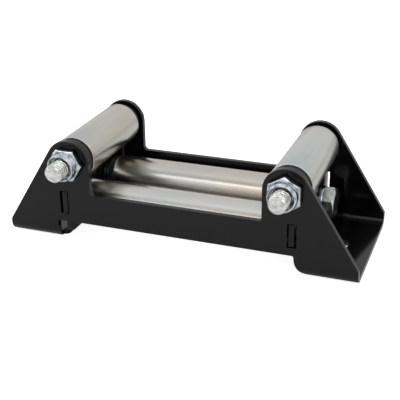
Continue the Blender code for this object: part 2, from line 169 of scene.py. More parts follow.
def vary_surface(
    tree: bpy.types.NodeTree,
    shader: bpy.types.Node,
    patches: bpy.types.Node,
    relief: bpy.types.Node,
    roughness: tuple[float, float],
    height: float,
) -> None:
    """Let one noise vary a shader's roughness and another raise its surface.

    Args:
        tree: The material's node tree.
        shader: Its shader.
        patches: The noise that tells smooth places from rough ones.
        relief: The noise that gives the surface its height.
        roughness: The least and the greatest roughness.
        height: How far the relief stands up.
    """
    low, high = roughness
    rough = add_node(
        tree, "ShaderNodeMapRange", {"To Min": low, "To Max": high}, {"Value": patches.outputs["Fac"]}
    )
    bump = add_node(tree, "ShaderNodeBump", {"Distance": height}, {"Height": relief.outputs["Fac"]})
    tree.links.new(rough.outputs["Result"], shader.inputs["Roughness"])
    tree.links.new(bump.outputs["Normal"], shader.inputs["Normal"])


@dataclass(frozen=True)
class GlossEnamel:
    """Gloss black enamel, sprayed on steel sheet: a dark, wet shine with a faint orange peel."""

    colour: str = "#0a0a0b"
    specular: float = 0.3
    roughness: tuple[float, float] = (0.096, 0.162)
    haze_size: float = 30.0 * MM
    haze_detail: float = 3.0
    peel_size: float = 1.6 * MM
    peel_detail: float = 1.0
    peel_height: float = 0.012 * MM

    def material(self) -> bpy.types.Material:
        """Build the enamel.

        Returns:
            The new material.
        """
        material, tree, shader = new_material("gloss_black_enamel")
        shader.inputs["Base Color"].default_value = linear(self.colour)
        shader.inputs["Specular IOR Level"].default_value = self.specular
        place = {"Vector": add_node(tree, "ShaderNodeTexCoord").outputs["Object"]}
        haze_scale = {"Scale": 1 / self.haze_size, "Detail": self.haze_detail}
        peel_scale = {"Scale": 1 / self.peel_size, "Detail": self.peel_detail}
        haze = add_node(tree, "ShaderNodeTexNoise", haze_scale, place)
        peel = add_node(tree, "ShaderNodeTexNoise", peel_scale, place)
        vary_surface(tree, shader, haze, peel, self.roughness, self.peel_height)
        return material


@dataclass(frozen=True)
class TurnedZinc:
    """Zinc plating on a turned steel tube: satin, with fine rings round it and faint warm clouds.

    The real turning marks are about 0.2 mm apart. They are drawn coarser, because they wouldn't show.
    """

    name: str
    centre: tuple[float, float, float]
    turn: tuple[float, float, float]
    pale: str
    cool: str
    warm: str
    warm_at: float = 0.32
    pale_at: float = 0.5
    cool_at: float = 0.66
    roughness: tuple[float, float] = (0.18, 0.312)
    cloud_size: float = 26.0 * MM
    cloud_stretch: float = 0.22
    cloud_detail: float = 4.0
    cloud_breakup: float = 0.55
    ring_spacing: float = 0.55 * MM
    ring_stretch: float = 0.02
    ring_detail: float = 2.0
    ring_height: float = 0.004 * MM

    def material(self) -> bpy.types.Material:
        """Build the plating, with its pattern centred on the roller's own axis.

        Returns:
            The new material.
        """
        material, tree, shader = new_material(self.name)
        shader.inputs["Metallic"].default_value = 1.0
        place = add_node(tree, "ShaderNodeTexCoord").outputs["Object"]
        on_axis = {"vector_type": "TEXTURE", "Location": self.centre, "Rotation": self.turn}
        own = {"Vector": add_node(tree, "ShaderNodeMapping", on_axis, {"Vector": place}).outputs["Vector"]}
        long_way = add_node(tree, "ShaderNodeMapping", {"Scale": (1.0, 1.0, self.cloud_stretch)}, own)
        clouds = add_node(
            tree,
            "ShaderNodeTexNoise",
            {"Scale": 1 / self.cloud_size, "Detail": self.cloud_detail, "Roughness": self.cloud_breakup},
            {"Vector": long_way.outputs["Vector"]},
        )
        tint = add_node(tree, "ShaderNodeValToRGB", None, {"Fac": clouds.outputs["Fac"]})
        stops = ((self.warm_at, self.warm), (self.pale_at, self.pale), (self.cool_at, self.cool))
        fill_ramp(tint.color_ramp, [(position, linear(colour)) for position, colour in stops])
        tree.links.new(tint.outputs["Color"], shader.inputs["Base Color"])
        round_way = add_node(
            tree, "ShaderNodeMapping", {"Scale": (self.ring_stretch, self.ring_stretch, 1.0)}, own
        )
        rings = add_node(
            tree,
            "ShaderNodeTexNoise",
            {"Scale": 1 / self.ring_spacing, "Detail": self.ring_detail},
            {"Vector": round_way.outputs["Vector"]},
        )
        vary_surface(tree, shader, clouds, rings, self.roughness, self.ring_height)
        return material


@dataclass(frozen=True)
class BrightZinc:
    """Bright zinc on forged steel: mirror-like, dented and smeared, with painted shade darkening its
    creases.
    """

    name: str
    pale: str
    dull: str
    roughness: tuple[float, float]
    dull_at: float = 0.3
    pale_at: float = 0.6
    smear_size: float = 4.0 * MM
    smear_detail: float = 4.0
    dent_size: float = 2.2 * MM
    dent_detail: float = 2.0
    dent_height: float = 0.05 * MM
    # How far the painted shade in creases reaches
    crease_shade_reach: float = 1.8 * MM

    def material(self) -> bpy.types.Material:
        """Build the plating.

        Returns:
            The new material.
        """
        material, tree, shader = new_material(self.name)
        shader.inputs["Metallic"].default_value = 1.0
        place = {"Vector": add_node(tree, "ShaderNodeTexCoord").outputs["Object"]}
        smear_scale = {"Scale": 1 / self.smear_size, "Detail": self.smear_detail}
        smear = add_node(tree, "ShaderNodeTexNoise", smear_scale, place)
        tint = add_node(tree, "ShaderNodeValToRGB", None, {"Fac": smear.outputs["Fac"]})
        stops = ((self.dull_at, self.dull), (self.pale_at, self.pale))
        fill_ramp(tint.color_ramp, [(position, linear(colour)) for position, colour in stops])
        # Painted shade: ambient occlusion darkens the colour in thread roots, corners and creases
        painted_crease_shade = add_node(
            tree,
            "ShaderNodeAmbientOcclusion",
            {"Distance": self.crease_shade_reach},
            {"Color": tint.outputs["Color"]},
        )
        tree.links.new(painted_crease_shade.outputs["Color"], shader.inputs["Base Color"])
        dent_scale = {"Scale": 1 / self.dent_size, "Detail": self.dent_detail}
        dents = add_node(tree, "ShaderNodeTexNoise", dent_scale, place)
        vary_surface(tree, shader, smear, dents, self.roughness, self.dent_height)
        return material


@dataclass(frozen=True)
class MouldedNylon:
    """Black nylon, injection moulded: dark grey, satin, with a fine grain.

    The real grain is about 0.2 mm wide. It is drawn coarser, because it wouldn't show.
    """

    colour: str = "#1b1c1e"
    roughness: tuple[float, float] = (0.357, 0.504)
    grain_size: float = 0.7 * MM
    grain_detail: float = 2.0
    grain_height: float = 0.02 * MM

    def material(self) -> bpy.types.Material:
        """Build the nylon.

        Returns:
            The new material.
        """
        material, tree, shader = new_material("black_nylon")
        shader.inputs["Base Color"].default_value = linear(self.colour)
        place = {"Vector": add_node(tree, "ShaderNodeTexCoord").outputs["Object"]}
        grain_scale = {"Scale": 1 / self.grain_size, "Detail": self.grain_detail}
        grain = add_node(tree, "ShaderNodeTexNoise", grain_scale, place)
        vary_surface(tree, shader, grain, grain, self.roughness, self.grain_height)
        return material


class Bench:
    """The modelling operators, each working on one object whose axis is Z."""

    # Two places this close are the same place
    NEAR = 1e-6
    # A face points along the axis when its normal has at least this much of it
    FACING = 0.99

    @staticmethod
    def only(obj: bpy.types.Object) -> None:
        """Make one object the only one selected, and the active one.

        Args:
            obj: The object.
        """
        bpy.ops.object.select_all(action="DESELECT")
        obj.select_set(True)
        bpy.context.view_layer.objects.active = obj

    @staticmethod
    def cylinder(name: str, sides: int, radius: float, low: float, high: float) -> bpy.types.Object:
        """Add a closed cylinder on Z.

        Args:
            name: The object's name.
            sides: How many sides it has. The first corner is on +X.
            radius: Its corner radius.
            low: The height of its bottom.
            high: The height of its top.

        Returns:
            The new object, with its place in its mesh.
        """
        bpy.ops.object.select_all(action="DESELECT")
        bpy.ops.mesh.primitive_cylinder_add(
            vertices=sides,
            radius=radius,
            depth=high - low,
            end_fill_type="NGON",
            location=(0.0, 0.0, (low + high) / 2),
            rotation=(0.0, 0.0, math.pi / 2),
        )
        obj = bpy.context.active_object
        obj.name = name
        bpy.ops.object.transform_apply(location=True, rotation=True, scale=True)
        return obj

    @staticmethod
    def start_edit(obj: bpy.types.Object, element: str) -> bmesh.types.BMesh:
        """Enter edit mode with nothing selected.

        Args:
            obj: The piece.
            element: What is about to be selected, FACE or EDGE.

        Returns:
            The piece's mesh in edit mode.
        """
        Bench.only(obj)
        bpy.ops.object.mode_set(mode="EDIT")
        bpy.ops.mesh.select_mode(type=element)
        bpy.ops.mesh.select_all(action="DESELECT")
        return bmesh.from_edit_mesh(obj.data)

    @staticmethod
    def edit_faces(obj: bpy.types.Object, chosen: Callable[[bmesh.types.BMFace], bool]) -> None:
        """Enter edit mode with only some faces selected.

        Args:
            obj: The piece.
            chosen: Tells whether a face is selected.
        """
        for face in Bench.start_edit(obj, "FACE").faces:
            face.select_set(chosen(face))
        bmesh.update_edit_mesh(obj.data)

    @staticmethod
    def edit_edges(obj: bpy.types.Object, chosen: Callable[[bmesh.types.BMEdge], bool]) -> None:
        """Enter edit mode with only some edges selected.

        Args:
            obj: The piece.
            chosen: Tells whether an edge is selected.
        """
        for edge in Bench.start_edit(obj, "EDGE").edges:
            edge.select_set(chosen(edge))
        bmesh.update_edit_mesh(obj.data)

    @staticmethod
    def done() -> None:
        """Leave edit mode."""
        bpy.ops.object.mode_set(mode="OBJECT")

    @staticmethod
    def is_top(face: bmesh.types.BMFace) -> bool:
        """Whether the face points straight up."""
        return face.normal.z > Bench.FACING

    @staticmethod
    def is_bottom(face: bmesh.types.BMFace) -> bool:
        """Whether the face points straight down."""
        return face.normal.z < -Bench.FACING

    @staticmethod
    def is_cap(face: bmesh.types.BMFace) -> bool:
        """Whether the face is an end face."""
        return Bench.is_top(face) or Bench.is_bottom(face)

    @staticmethod
    def extrude_up(rise: float) -> None:
        """Extrude the selected faces along the axis."""
        bpy.ops.mesh.extrude_region_move(TRANSFORM_OT_translate={"value": (0.0, 0.0, rise)})

    @staticmethod
    def widen(scale: float, height: float) -> None:
        """Scale what is selected away from the axis, at the height where it lies."""
        bpy.ops.transform.resize(value=(scale, scale, 1.0), center_override=(0.0, 0.0, height))

    @staticmethod
    def bore(obj: bpy.types.Object, wall: float) -> None:
        """Open a round hole right through the end faces.

        Args:
            obj: A solid of revolution with one face at each end.
            wall: How far the hole's edge lies inside the end faces' edges.
        """
        Bench.edit_faces(obj, Bench.is_cap)
        bpy.ops.mesh.inset(thickness=wall, depth=0.0, use_individual=True)
        bpy.ops.mesh.bridge_edge_loops()
        Bench.done()

    @staticmethod
    def round_edges_at(
        obj: bpy.types.Object, heights: tuple[float, ...], least_radius: float, width: float, steps: int
    ) -> None:
        """Bevel the circular edges that lie at some heights.

        Args:
            obj: The piece.
            heights: The heights of the edges.
            least_radius: Edges nearer the axis than this stay sharp.
            width: The bevel's width.
            steps: Its number of segments.
        """

        def at_height(edge: bmesh.types.BMEdge) -> bool:
            """Whether the edge lies level at one of the heights, far enough from the axis."""
            ends = [vert.co for vert in edge.verts]
            level = all(any(abs(co.z - h) < Bench.NEAR for h in heights) for co in ends)
            flat = abs(ends[0].z - ends[1].z) < Bench.NEAR
            return level and flat and all(co.xy.length > least_radius for co in ends)

        Bench.edit_edges(obj, at_height)
        bpy.ops.mesh.bevel(offset=width, segments=steps, affect="EDGES", profile=0.5)
        Bench.done()

    @staticmethod
    def combine(obj: bpy.types.Object, other: bpy.types.Object, operation: str) -> None:
        """Apply a Boolean with another object, and remove that object.

        Args:
            obj: The piece that stays.
            other: The object that it is combined with.
            operation: UNION, DIFFERENCE or INTERSECT.
        """
        Bench.only(obj)
        modifier = obj.modifiers.new(operation, "BOOLEAN")
        modifier.operation = operation
        modifier.solver = "EXACT"
        modifier.object = other
        bpy.ops.object.modifier_apply(modifier=modifier.name)
        bpy.data.objects.remove(other, do_unlink=True)

    @staticmethod
    def soften(obj: bpy.types.Object, width: float, steps: int, angle: float) -> None:
        """Round every edge that is sharper than an angle, as paint or wear does.

        Args:
            obj: The piece.
            width: The rounding's width.
            steps: Its number of segments.
            angle: The least turn, in degrees, at which an edge is rounded.
        """
        Bench.only(obj)
        modifier = obj.modifiers.new("soften", "BEVEL")
        modifier.width = width
        modifier.segments = steps
        modifier.limit_method = "ANGLE"
        modifier.angle_limit = math.radians(angle)
        bpy.ops.object.modifier_apply(modifier=modifier.name)

    @staticmethod
    def smooth(obj: bpy.types.Object, angle: float = 30.0) -> None:
        """Shade a piece smooth, with edges kept where it turns by more than an angle."""
        Bench.only(obj)
        bpy.ops.object.shade_smooth_by_angle(angle=math.radians(angle))

    @staticmethod
    def flatten_shading(obj: bpy.types.Object) -> None:
        """Let large faces set the shading, so that a flat face stays flat beside a rounded edge.

        Args:
            obj: The piece, shaded smooth.
        """
        Bench.only(obj)
        modifier = obj.modifiers.new("flatten", "WEIGHTED_NORMAL")
        modifier.keep_sharp = True
        bpy.ops.object.modifier_apply(modifier=modifier.name)


def stand_in(
    obj: bpy.types.Object, node: str, body: str, material: bpy.types.Material
) -> None:
    """Give a finished piece its material and body, and let it stand for its node.

    Args:
        obj: The piece, in its place.
        node: The node that it replaces.
        body: The body that it rides on.
        material: Its finish.
    """
    obj.data.materials.clear()
    obj.data.materials.append(material)
    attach(obj, body)
    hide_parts(node)
    log.info("%s stands for %s", obj.name, node)


@dataclass(frozen=True)
class Corner:
    """An upright corner of the web that is rounded off in plan, seen from above."""

    x: float
    y: float
    radius: float
    steps: int = 6
    reach: float = 0.6 * MM
    top: float = 6.0 * MM

    def holds(self, edge: bmesh.types.BMEdge) -> bool:
        """Whether an edge runs up this corner.

        Args:
            edge: An edge of the channel.

        Returns:
            True if it does.
        """
        ends = [vert.co for vert in edge.verts]
        near = all(abs(co.x - self.x) < self.reach and abs(co.y - self.y) < self.reach for co in ends)
        low = all(co.z < self.top for co in ends)
        return near and low and abs(ends[0].z - ends[1].z) > self.reach

    def round_off(self, obj: bpy.types.Object) -> None:
        """Round the corner of this piece."""
        Bench.edit_edges(obj, self.holds)
        bpy.ops.mesh.bevel(offset=self.radius, segments=self.steps, affect="EDGES", profile=0.5)
        Bench.done()


@dataclass(frozen=True)
class PaintedSheet:
    """A piece of painted steel sheet whose cut edges are rounded by grinding and paint."""

    node: str
    corners: tuple[Corner, ...] = ()
    edge_round: float = 0.55 * MM
    edge_steps: int = 3
    edge_angle: float = 32.0
    weld_distance: float = 0.002 * MM
    flat_angle: float = 0.6

    def build(self, nodes: dict[str, bpy.types.Object]) -> bpy.types.Object:
        """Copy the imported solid, clean its faces and round its edges.

        Args:
            nodes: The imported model's nodes.

        Returns:
            The finished piece.
        """
        obj = bpy.data.objects.new(f"{self.node}_enamelled", nodes[self.node].data.copy())
        bpy.context.scene.collection.objects.link(obj)
        Bench.edit_faces(obj, lambda face: True)
        bpy.ops.mesh.remove_doubles(threshold=self.weld_distance)
        bpy.ops.mesh.dissolve_limited(angle_limit=math.radians(self.flat_angle))
        Bench.done()
        for corner in self.corners:
            corner.round_off(obj)
        Bench.soften(obj, self.edge_round, self.edge_steps, self.edge_angle)
        Bench.smooth(obj)
        Bench.flatten_shading(obj)
        return obj

    def dress(self, nodes: dict[str, bpy.types.Object], enamel: bpy.types.Material) -> None:
        """Build the sheet, paint it and put it in its node's place."""
        stand_in(self.build(nodes), self.node, CARRIER, enamel)


@dataclass(frozen=True)
class Tube:
    """A turned steel roller tube with a chamfer at each end."""

    radius: float
    half_length: float
    wall: float = 3.2 * MM
    chamfer: float = 0.8 * MM
    chamfer_steps: int = 3
    sides: int = 128

    def build(self, name: str) -> bpy.types.Object:
        """Turn the tube on Z.

        Args:
            name: The object's name.

        Returns:
            The tube, with its middle at Z zero.
        """
        ends = (-self.half_length, self.half_length)
        obj = Bench.cylinder(name, self.sides, self.radius, *ends)
        Bench.round_edges_at(obj, ends, 0.0, self.chamfer, self.chamfer_steps)
        Bench.bore(obj, self.wall - self.chamfer)
        Bench.smooth(obj)
        return obj


@dataclass(frozen=True)
class Bush:
    """A flanged nylon bush. Its body stands on Z zero with its flange on top."""

    flange_low: float
    flange_high: float
    flange_radius: float = 17.3 * MM
    body_radius: float = 15.55 * MM
    bore_radius: float = 8.35 * MM
    edge_round: float = 0.8 * MM
    edge_steps: int = 3
    clear_of_body: float = 1.0 * MM
    sides: int = 96

    def build(self, name: str) -> bpy.types.Object:
        """Mould the bush on Z.

        Args:
            name: The object's name.

        Returns:
            The bush.
        """
        ends = (self.flange_low, self.flange_high)
        obj = Bench.cylinder(name, self.sides, self.flange_radius, *ends)
        Bench.edit_faces(obj, Bench.is_bottom)
        bpy.ops.mesh.inset(thickness=self.flange_radius - self.body_radius, depth=0.0)
        Bench.extrude_up(-self.flange_low)
        Bench.done()
        Bench.edit_faces(obj, Bush.is_end)
        bpy.ops.mesh.delete(type="FACE")
        Bench.done()
        self.line(obj)
        least_radius = self.body_radius + self.clear_of_body
        Bench.round_edges_at(obj, ends, least_radius, self.edge_round, self.edge_steps)
        Bench.smooth(obj)
        return obj

    @staticmethod
    def is_end(face: bmesh.types.BMFace) -> bool:
        """Whether the face closes the top or the bottom, unlike the four-sided ones of a ring."""
        return Bench.is_cap(face) and len(face.verts) > 4

    @staticmethod
    def is_open_rim(edge: bmesh.types.BMEdge, height: float) -> bool:
        """Whether the edge is on the open rim at this height."""
        return edge.is_boundary and abs(edge.verts[0].co.z - height) < Bench.NEAR

    def line(self, obj: bpy.types.Object) -> None:
        """Close both open ends inward to the bore and join them.

        Args:
            obj: The bush, open at both ends.
        """
        for height, radius in ((self.flange_high, self.flange_radius), (0.0, self.body_radius)):
            Bench.edit_edges(obj, lambda edge, h=height: Bush.is_open_rim(edge, h))
            bpy.ops.mesh.extrude_edges_move()
            Bench.widen(self.bore_radius / radius, height)
            Bench.done()
        Bench.edit_edges(obj, lambda edge: edge.is_boundary)
        bpy.ops.mesh.bridge_edge_loops()
        Bench.done()


@dataclass(frozen=True)
class Washer:
    """A flat punched washer."""

    thickness: float
    radius: float = 15.0 * MM
    bore_radius: float = 8.4 * MM
    edge_round: float = 0.3 * MM
    edge_steps: int = 2
    sides: int = 72

    def build(self, name: str) -> bpy.types.Object:
        """Punch the washer on Z.

        Args:
            name: The object's name.

        Returns:
            The washer, standing on Z zero.
        """
        ends = (0.0, self.thickness)
        obj = Bench.cylinder(name, self.sides, self.radius, *ends)
        Bench.bore(obj, self.radius - self.bore_radius)
        Bench.round_edges_at(obj, ends, 0.0, self.edge_round, self.edge_steps)
        Bench.smooth(obj)
        return obj


@dataclass(frozen=True)
class Hexagon:
    """A forged hexagon whose corners are trimmed by a turned chamfer."""

    across_flats: float = 27.0 * MM
    face_diameter: float = 25.4 * MM
    chamfer_angle: float = 30.0
    trim_sides: int = 96

    def build(self, name: str, low: float, high: float, both_ends: bool) -> bpy.types.Object:
        """Forge the hexagon on Z.

        Args:
            name: The object's name.
            low: The height of its bottom.
            high: The height of its top.
            both_ends: Whether its bottom is trimmed as its top is.

        Returns:
            The hexagon, with a corner on +X.
        """
        corner = self.across_flats / math.sqrt(3)
        obj = Bench.cylinder(name, 6, corner, low, high)
        margin = corner - self.face_diameter / 2
        drop = margin * math.tan(math.radians(self.chamfer_angle))
        bottom = low + drop if both_ends else low - drop
        trim = Bench.cylinder(f"{name}_trim", self.trim_sides, corner, bottom, high - drop)
        ends = [(Bench.is_top, drop)]
        if both_ends:
            ends.append((Bench.is_bottom, -drop))
        for is_end, rise in ends:
            Bench.edit_faces(trim, is_end)
            bpy.ops.mesh.inset(thickness=margin, depth=0.0)
            bpy.ops.transform.translate(value=(0.0, 0.0, rise))
            Bench.done()
        Bench.combine(obj, trim, "INTERSECT")
        return obj


@dataclass(frozen=True)
class LockNut:
    """A hexagon nut with a tall rounded collar crimped over its locking ring."""

    height: float
    hexagon: Hexagon = field(default_factory=Hexagon)
    hex_height: float = 7.3 * MM
    collar_radius: float = 12.6 * MM
    shoulder_height: float = 11.2 * MM
    lip_radius: float = 10.8 * MM
    lip_drop: float = 0.9 * MM
    mouth_radius: float = 9.7 * MM
    mouth_depth: float = 2.6 * MM
    mouth_slope: float = 0.1 * MM
    bore_radius: float = 8.3 * MM
    cutter_spare: float = 1.0 * MM
    round_steps: int = 10
    edge_round: float = 0.22 * MM
    edge_steps: int = 2
    edge_angle: float = 26.0
    smooth_angle: float = 24.0
    sides: int = 96

    def build(self, name: str) -> bpy.types.Object:
        """Make the nut.

        Args:
            name: The object's name.

        Returns:
            The nut, standing on Z zero.
        """
        obj = self.hexagon.build(name, 0.0, self.hex_height, True)
        Bench.combine(obj, self.collar(f"{name}_collar"), "UNION")
        Bench.combine(obj, self.drill(f"{name}_drill"), "DIFFERENCE")
        Bench.soften(obj, self.edge_round, self.edge_steps, self.edge_angle)
        Bench.smooth(obj, self.smooth_angle)
        return obj

    def collar(self, name: str) -> bpy.types.Object:
        """Make the collar, straight up to its shoulder and then rolled in to its lip.

        Args:
            name: The object's name.

        Returns:
            The collar, with its foot inside the hexagon.
        """
        radius, height = self.collar_radius, self.shoulder_height
        obj = Bench.cylinder(name, self.sides, radius, self.hex_height / 2, height)
        Bench.edit_faces(obj, Bench.is_top)
        reach = self.collar_radius - self.lip_radius
        rise = self.height - self.shoulder_height
        for step in range(1, self.round_steps + 1):
            angle = math.pi / 2 * step / self.round_steps
            next_radius = self.lip_radius + reach * math.cos(angle)
            next_height = self.shoulder_height + rise * math.sin(angle)
            Bench.extrude_up(next_height - height)
            Bench.widen(next_radius / radius, next_height)
            radius, height = next_radius, next_height
        bpy.ops.mesh.inset(thickness=self.lip_radius - self.mouth_radius, depth=0.0)
        bpy.ops.transform.translate(value=(0.0, 0.0, -self.lip_drop))
        Bench.done()
        return obj

    def drill(self, name: str) -> bpy.types.Object:
        """Make what is bored out: the bolt's way and a wider mouth above the locking ring.

        Args:
            name: The object's name.

        Returns:
            The cutter.
        """
        step = self.height - self.mouth_depth
        obj = Bench.cylinder(name, self.sides, self.bore_radius, -self.cutter_spare, step)
        Bench.edit_faces(obj, Bench.is_top)
        Bench.extrude_up(self.mouth_slope)
        Bench.widen(self.mouth_radius / self.bore_radius, step)
        Bench.extrude_up(self.mouth_depth + self.cutter_spare)
        Bench.done()
        return obj


@dataclass(frozen=True)
class Bolt:
    """A hexagon bolt with a rolled thread on its far end.

    The real pitch of about 2 mm would be too fine to show, so the thread is drawn coarser.
    """

    length: float
    thread_from: float
    hexagon: Hexagon = field(default_factory=Hexagon)
    head_height: float = 10.0 * MM
    radius: float = 7.95 * MM
    pitch: float = 3.3 * MM
    thread_depth: float = 1.4 * MM
    groove_share: float = 0.34
    end_chamfer: float = 1.4 * MM
    rings_per_turn: int = 12
    smooth_angle: float = 40.0
    sides: int = 64

    def build(self, name: str) -> bpy.types.Object:
        """Make the bolt.

        Args:
            name: The object's name.

        Returns:
            The bolt, with its head below Z zero and its end at its length.
        """
        obj = self.hexagon.build(name, 0.0, self.head_height, False)
        obj.data.transform(Matrix.Rotation(math.pi, 4, "X"))
        Bench.combine(obj, self.shank(f"{name}_shank"), "UNION")
        Bench.smooth(obj, self.smooth_angle)
        return obj

    def shank(self, name: str) -> bpy.types.Object:
        """Make the shank, plain as far as the nut and threaded past it.

        Args:
            name: The object's name.

        Returns:
            The shank, with its foot inside the head.
        """
        obj = Bench.cylinder(name, self.sides, self.radius, -self.head_height / 2, self.thread_from)
        threaded = self.length - self.thread_from
        Bench.edit_faces(obj, Bench.is_top)
        Bench.extrude_up(threaded)
        Bench.done()
        Bench.edit_edges(obj, self.is_upright_past_nut)
        bpy.ops.mesh.subdivide(number_cuts=round(threaded / self.pitch * self.rings_per_turn))
        Bench.done()
        for vert in obj.data.vertices:
            if vert.co.z > self.thread_from + Bench.NEAR:
                self.cut_thread(vert)
        return obj

    def is_upright_past_nut(self, edge: bmesh.types.BMEdge) -> bool:
        """Whether the edge runs up the part of the shank that gets the thread."""
        low, high = sorted(vert.co.z for vert in edge.verts)
        return low > self.thread_from - Bench.NEAR and high - low > Bench.NEAR

    def cut_thread(self, vert: bpy.types.MeshVertex) -> None:
        """Move a point in to where the thread's groove and the end chamfer put the surface.

        Args:
            vert: A point of the threaded part.
        """
        angle = math.atan2(vert.co.y, vert.co.x)
        phase = (vert.co.z / self.pitch - angle / (2 * math.pi)) % 1.0
        groove = max(0.0, 1.0 - abs(phase - 0.5) / self.groove_share)
        radius = self.radius - self.thread_depth * groove
        cone = self.radius - self.end_chamfer + (self.length - vert.co.z)
        scale = min(radius, cone) / vert.co.xy.length
        vert.co.x *= scale
        vert.co.y *= scale


class Shape(Protocol):
    """Anything that is modelled on Z from its own sizes."""

    def build(self, name: str) -> bpy.types.Object:
        """Model it under this name."""


class Shelf:
    """Finished shapes, each modelled once and copied to every place that has one."""

    def __init__(self) -> None:
        """Start with no shapes."""
        self.models: dict[Shape, bpy.types.Mesh] = {}

    def piece(self, shape: Shape, name: str) -> bpy.types.Object:
        """Make a piece of some shape, with its own mesh.

        Args:
            shape: The shape, with its sizes.
            name: The piece's name.

        Returns:
            The piece, with its axis on Z.
        """
        if shape not in self.models:
            model = shape.build(f"{name}_model")
            self.models[shape] = model.data
            bpy.data.objects.remove(model, do_unlink=True)
        obj = bpy.data.objects.new(name, self.models[shape].copy())
        bpy.context.scene.collection.objects.link(obj)
        return obj

    def clear(self) -> None:
        """Remove the models once every copy is made."""
        for mesh in self.models.values():
            bpy.data.meshes.remove(mesh)
        self.models.clear()


@dataclass(frozen=True)
class Span:
    """Where a node lies along its station's axis, from its lowest point to its highest."""

    low: float
    high: float

    @property
    def length(self) -> float:
        """How long it is, to a micrometre."""
        return round(self.high - self.low, MICRON_PLACES)


@dataclass(frozen=True)
class Supplies:
    """What all the stations share: the shapes that repeat, and the finishes of their small parts."""

    shelf: Shelf
    nylon: bpy.types.Material
    nut_zinc: bpy.types.Material
    bolt_zinc: bpy.types.Material


@dataclass
class Station:
    """One roller with its bushes, washers, bolt and nut, dressed along its own axis."""

    name: str
    direction: Direction
    nut_side: str
    head_side: str
    nut_turn: float
    head_turn: float
    tints: tuple[str, str, str]
    supplies: Supplies
    seat_gap: float = 0.3 * MM
    bush_body: float = 16.0 * MM
    thread_overlap: float = 3.4 * MM

    def __post_init__(self) -> None:
        """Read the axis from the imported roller."""
        low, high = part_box(f"{self.name}_roller")
        self.centre = (low + high) / 2
        turn = Euler(self.direction.value).to_matrix().to_4x4()
        self.place = Matrix.Translation(self.centre) @ turn
        self.along = turn @ Vector((0.0, 0.0, 1.0))
        self.radius = round((high.z - low.z) / 2, MICRON_PLACES)
        self.body = f"{self.name}_roller_set"

    def span(self, node: str) -> Span:
        """Find where a node lies along the axis.

        Args:
            node: The node's name.

        Returns:
            Its ends, measured from the roller's middle to a micrometre.
        """
        ends = sorted((corner - self.centre).dot(self.along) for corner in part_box(node))
        return Span(*(round(end, MICRON_PLACES) for end in ends))

    def finish(
        self,
        shape: Shape,
        name: str,
        node: str,
        body: str,
        material: bpy.types.Material,
        shift: float = 0.0,
        turn: float = 0.0,
        flipped: bool = False,
    ) -> None:
        """Put a piece of some shape in place of its node.

        Args:
            shape: The shape, modelled on Z.
            name: The piece's name.
            node: The node that it replaces.
            body: The body that it rides on.
            material: Its finish.
            shift: How far it moves up the axis.
            turn: How far it turns round the axis, in degrees.
            flipped: Whether it points away from the nut.
        """
        obj = self.supplies.shelf.piece(shape, name)
        flip = Matrix.Rotation(math.pi if flipped else 0.0, 4, "X")
        spin = Matrix.Rotation(math.radians(turn), 4, "Z")
        move = Matrix.Translation((0.0, 0.0, shift))
        obj.data.transform(self.place @ move @ spin @ flip)
        stand_in(obj, node, body, material)

    def dress(self) -> None:
        """Build every piece of the station."""
        self.dress_roller()
        for side, flipped in ((self.nut_side, False), (self.head_side, True)):
            self.dress_bush(side, flipped)
            self.dress_washer(f"{self.name}_thrust_washer_{side}")
            if self.direction is Direction.ALONG_CHANNEL:
                self.dress_washer(f"{self.name}_flat_washer_{side}")
        self.dress_nut()
        self.dress_bolt()

    def dress_roller(self) -> None:
        """Build the tube, with plating of its own centred on its axis."""
        node = f"{self.name}_roller"
        tube = Tube(self.radius, self.span(node).high)
        plating = TurnedZinc(f"{self.name}_zinc", tuple(self.centre), self.direction.value, *self.tints)
        self.finish(tube, f"{self.name}_tube", node, self.body, plating.material())

    def dress_bush(self, side: str, flipped: bool) -> None:
        """Build one flanged bush.

        Args:
            side: The side that it is on, as in its node's name.
            flipped: Whether it points away from the nut.
        """
        node = f"{self.name}_bush_{side}"
        span = self.span(node)
        foot = span.high if flipped else span.low
        bush = Bush(self.bush_body + self.seat_gap, span.length)
        nylon = self.supplies.nylon
        self.finish(
            bush, f"{node}_moulded", node, self.body, nylon, shift=foot, flipped=flipped
        )

    def dress_washer(self, node: str) -> None:
        """Build one flat or thrust washer."""
        span, zinc = self.span(node), self.supplies.nut_zinc
        self.finish(Washer(span.length), f"{node}_plated", node, CARRIER, zinc, span.low)

    def dress_nut(self) -> None:
        """Build the lock nut."""
        node = f"{self.name}_nut"
        span, zinc = self.span(node), self.supplies.nut_zinc
        nut = LockNut(span.length)
        self.finish(nut, f"{node}_plated", node, CARRIER, zinc, span.low, self.nut_turn)

    def dress_bolt(self) -> None:
        """Build the bolt, threaded from just inside its nut."""
        node = f"{self.name}_bolt"
        span, zinc = self.span(node), self.supplies.bolt_zinc
        seat = span.low + Bolt.head_height
        nut_top = self.span(f"{self.name}_nut").high
        bolt = Bolt(span.high - seat, nut_top - self.thread_overlap - seat)
        self.finish(bolt, f"{node}_plated", node, CARRIER, zinc, seat, self.head_turn)


